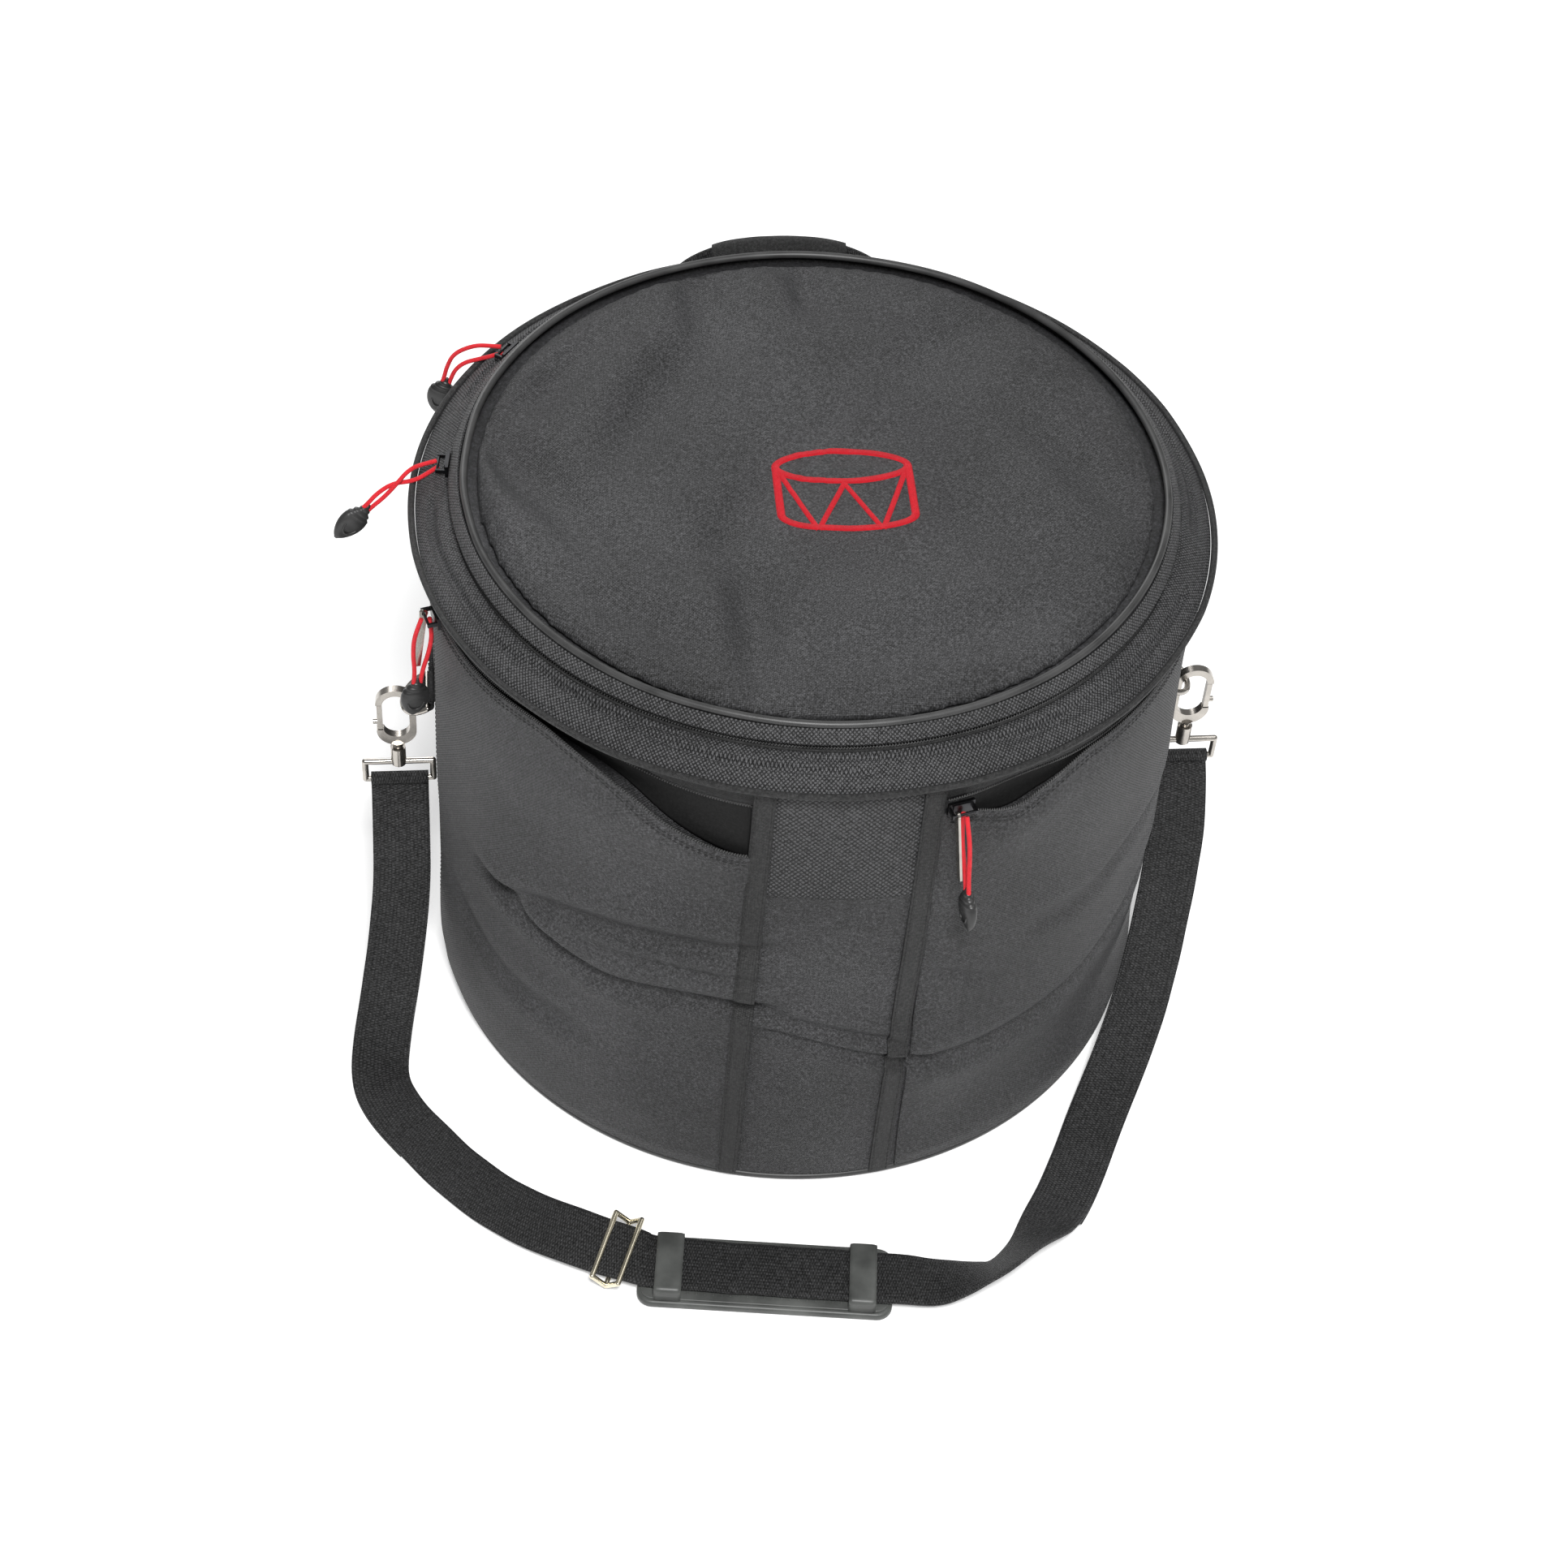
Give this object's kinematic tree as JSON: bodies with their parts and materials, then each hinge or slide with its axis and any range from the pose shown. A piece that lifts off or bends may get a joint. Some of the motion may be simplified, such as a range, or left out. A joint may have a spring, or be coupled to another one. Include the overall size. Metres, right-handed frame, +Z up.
{
  "type": "drum bag",
  "caption": "Round padded drum bag with a hinged zip lid, front zip pockets, a rear carry handle and a clip-on shoulder strap with a sliding pad.",
  "frame": {"origin": "centre of the base's underside", "axes": "+Z up along the bag's axis towards the lid, -Y towards the front pockets, +Y towards the lid hinge and carry handle"},
  "size_m": [0.5465, 0.5682, 0.377],
  "materials": {
    "shell": "woven nylon, matt with a soft sheen",
    "pocket_fabric": "woven nylon, matt with a soft sheen",
    "base_fabric": "coated nylon, matt",
    "lining": "plain taffeta",
    "foam": "closed-cell foam",
    "board": "stiff sheet",
    "piping": "ribbed binding tape",
    "zip_tape": "woven tape",
    "zip_coil": "moulded coil",
    "slider_metal": "black enamel",
    "tab_metal": "bright nickel",
    "pull_cord": "braided cord",
    "pull_rubber": "moulded, satin",
    "webbing": "ribbed webbing",
    "grip": "padded nylon wrap",
    "pad_rubber": "moulded, matt",
    "hook_metal": "nickel plate",
    "glide_metal": "nickel plate, warm",
    "embroidery": "satin stitch"
  },
  "bodies": {
    "bag": {"base_panel": "base_fabric", "base_board": "board", "base_foam": "foam", "base_piping": "piping", "wall_panel": "shell", "wall_foam": "foam", "lining": "lining", "upper_band": "shell", "ridge_piping": "piping", "back_seam_tape": "piping", "front_panel": "shell", "pocket_bindings": "piping", "pocket_left": "pocket_fabric", "pocket_right": "pocket_fabric", "pocket_tape_left": "zip_tape", "pocket_tape_right": "zip_tape", "pocket_coils_left": "zip_coil", "pocket_coils_right": "zip_coil", "zip_tape_body": "zip_tape", "zip_coil_body": "zip_coil", "hinge_tape": "zip_tape", "ring_tabs": "webbing", "handle_patches": "webbing", "strap_webbing": "webbing", "strap_end_left": "webbing", "strap_end_right": "webbing", "strap_loops": "hook_metal"},
    "lid": {"lid_panel": "shell", "lid_foam": "foam", "lid_lining": "lining", "lid_band": "shell", "lid_piping": "piping", "zip_tape_lid": "zip_tape", "zip_coil_lid": "zip_coil", "hinge_flap": "zip_tape", "emblem": "embroidery"},
    "slider_front": {"zip_slider_front": "slider_metal"},
    "pull_front": {"pull_cord_front": "pull_cord", "pull_tip_front": "pull_rubber"},
    "slider_rear": {"zip_slider_rear": "slider_metal"},
    "pull_rear": {"pull_cord_rear": "pull_cord", "pull_tip_rear": "pull_rubber"},
    "slider_pocket_left": {"pocket_slider_left": "slider_metal"},
    "pull_pocket_left": {"pull_cord_pocket_left": "pull_cord", "pull_tip_pocket_left": "pull_rubber", "pull_tab_pocket_left": "tab_metal"},
    "slider_pocket_right": {"pocket_slider_right": "slider_metal"},
    "pull_pocket_right": {"pull_cord_pocket_right": "pull_cord", "pull_tip_pocket_right": "pull_rubber", "pull_tab_pocket_right": "tab_metal"},
    "d_ring_left": {"d_ring_left": "hook_metal"},
    "d_ring_right": {"d_ring_right": "hook_metal"},
    "hook_left": {"hook_left": "hook_metal"},
    "hook_right": {"hook_right": "hook_metal"},
    "gate_left": {"hook_gate_left": "hook_metal"},
    "gate_right": {"hook_gate_right": "hook_metal"},
    "tri_glide": {"tri_glide": "glide_metal"},
    "shoulder_pad": {"shoulder_pad": "pad_rubber"},
    "handle": {"handle_webbing": "webbing", "handle_grip": "grip"}
  },
  "joints": [
    {"name": "lid_hinge", "type": "hinge", "parent": "bag", "child": "lid", "pos_m": [0, 0.2078, 0.3658], "axis": [-1, 0, 0], "range_deg": [0, 110]},
    {"name": "zip_slider_front_travel", "type": "hinge", "parent": "bag", "child": "slider_front", "pos_m": [0, 0, 0.3646], "axis": [0, 0, 1], "range_deg": [-9, 250]},
    {"name": "zip_pull_front_swing", "type": "hinge", "parent": "slider_front", "child": "pull_front", "pos_m": [-0.21302, 0.02427, 0.3646], "axis": [-0.3338, 0.9426, 0], "range_deg": [0, 95]},
    {"name": "zip_slider_rear_travel", "type": "hinge", "parent": "bag", "child": "slider_rear", "pos_m": [0, 0, 0.3646], "axis": [0, 0, 1], "range_deg": [-27, 9]},
    {"name": "zip_pull_rear_swing", "type": "hinge", "parent": "slider_rear", "child": "pull_rear", "pos_m": [-0.17433, 0.12481, 0.3646], "axis": [0.1668, 0.986, 0], "range_deg": [0, 95]},
    {"name": "pocket_slider_left_travel", "type": "hinge", "parent": "bag", "child": "slider_pocket_left", "pos_m": [0, 0, 0.328], "axis": [0, 0, 1], "range_deg": [-3.5, 56]},
    {"name": "pocket_pull_left_swing", "type": "hinge", "parent": "slider_pocket_left", "child": "pull_pocket_left", "pos_m": [-0.22186, -0.06362, 0.328], "axis": [-0.2756, 0.9613, 0], "range_deg": [0, 95]},
    {"name": "pocket_slider_right_travel", "type": "hinge", "parent": "bag", "child": "slider_pocket_right", "pos_m": [0, 0, 0.328], "axis": [0, 0, 1], "range_deg": [0, 60]},
    {"name": "pocket_pull_right_swing", "type": "hinge", "parent": "slider_pocket_right", "child": "pull_pocket_right", "pos_m": [0.0609, -0.22262, 0.328], "axis": [-0.9646, -0.2639, 0], "range_deg": [0, 95]},
    {"name": "d_ring_right_swing", "type": "hinge", "parent": "bag", "child": "d_ring_right", "pos_m": [0.2252, 0, 0.206], "axis": [0, -1, 0], "range_deg": [0, 10]},
    {"name": "hook_right_swivel", "type": "hinge", "parent": "bag", "child": "hook_right", "pos_m": [0.2445, 0, 0.158], "axis": [0, 0, 1], "range_deg": [-12, 12]},
    {"name": "hook_gate_right_open", "type": "hinge", "parent": "hook_right", "child": "gate_right", "pos_m": [0.2543, 0, 0.1786], "axis": [0, -1, 0], "range_deg": [0, 20], "stiffness_Nm_per_rad": 0.03, "springref_deg": -11.46},
    {"name": "d_ring_left_swing", "type": "hinge", "parent": "bag", "child": "d_ring_left", "pos_m": [-0.2252, 0, 0.206], "axis": [0, 1, 0], "range_deg": [0, 10]},
    {"name": "hook_left_swivel", "type": "hinge", "parent": "bag", "child": "hook_left", "pos_m": [-0.2445, 0, 0.158], "axis": [0, 0, 1], "range_deg": [-12, 12]},
    {"name": "hook_gate_left_open", "type": "hinge", "parent": "hook_left", "child": "gate_left", "pos_m": [-0.2543, 0, 0.1786], "axis": [0, 1, 0], "range_deg": [0, 20], "stiffness_Nm_per_rad": 0.03, "springref_deg": -11.46},
    {"name": "tri_glide_slide", "type": "slide", "parent": "bag", "child": "tri_glide", "axis": [0.9252, -0.3795, 0], "range_m": [-0.003, 0.001]},
    {"name": "shoulder_pad_slide", "type": "slide", "parent": "bag", "child": "shoulder_pad", "axis": [0.9923, -0.1236, 0], "range_m": [-0.001, 0.005]},
    {"name": "handle_swing", "type": "hinge", "parent": "bag", "child": "handle", "pos_m": [0, 0.2135, 0.302], "axis": [-1, 0, 0], "range_deg": [0, 80]}
  ]
}
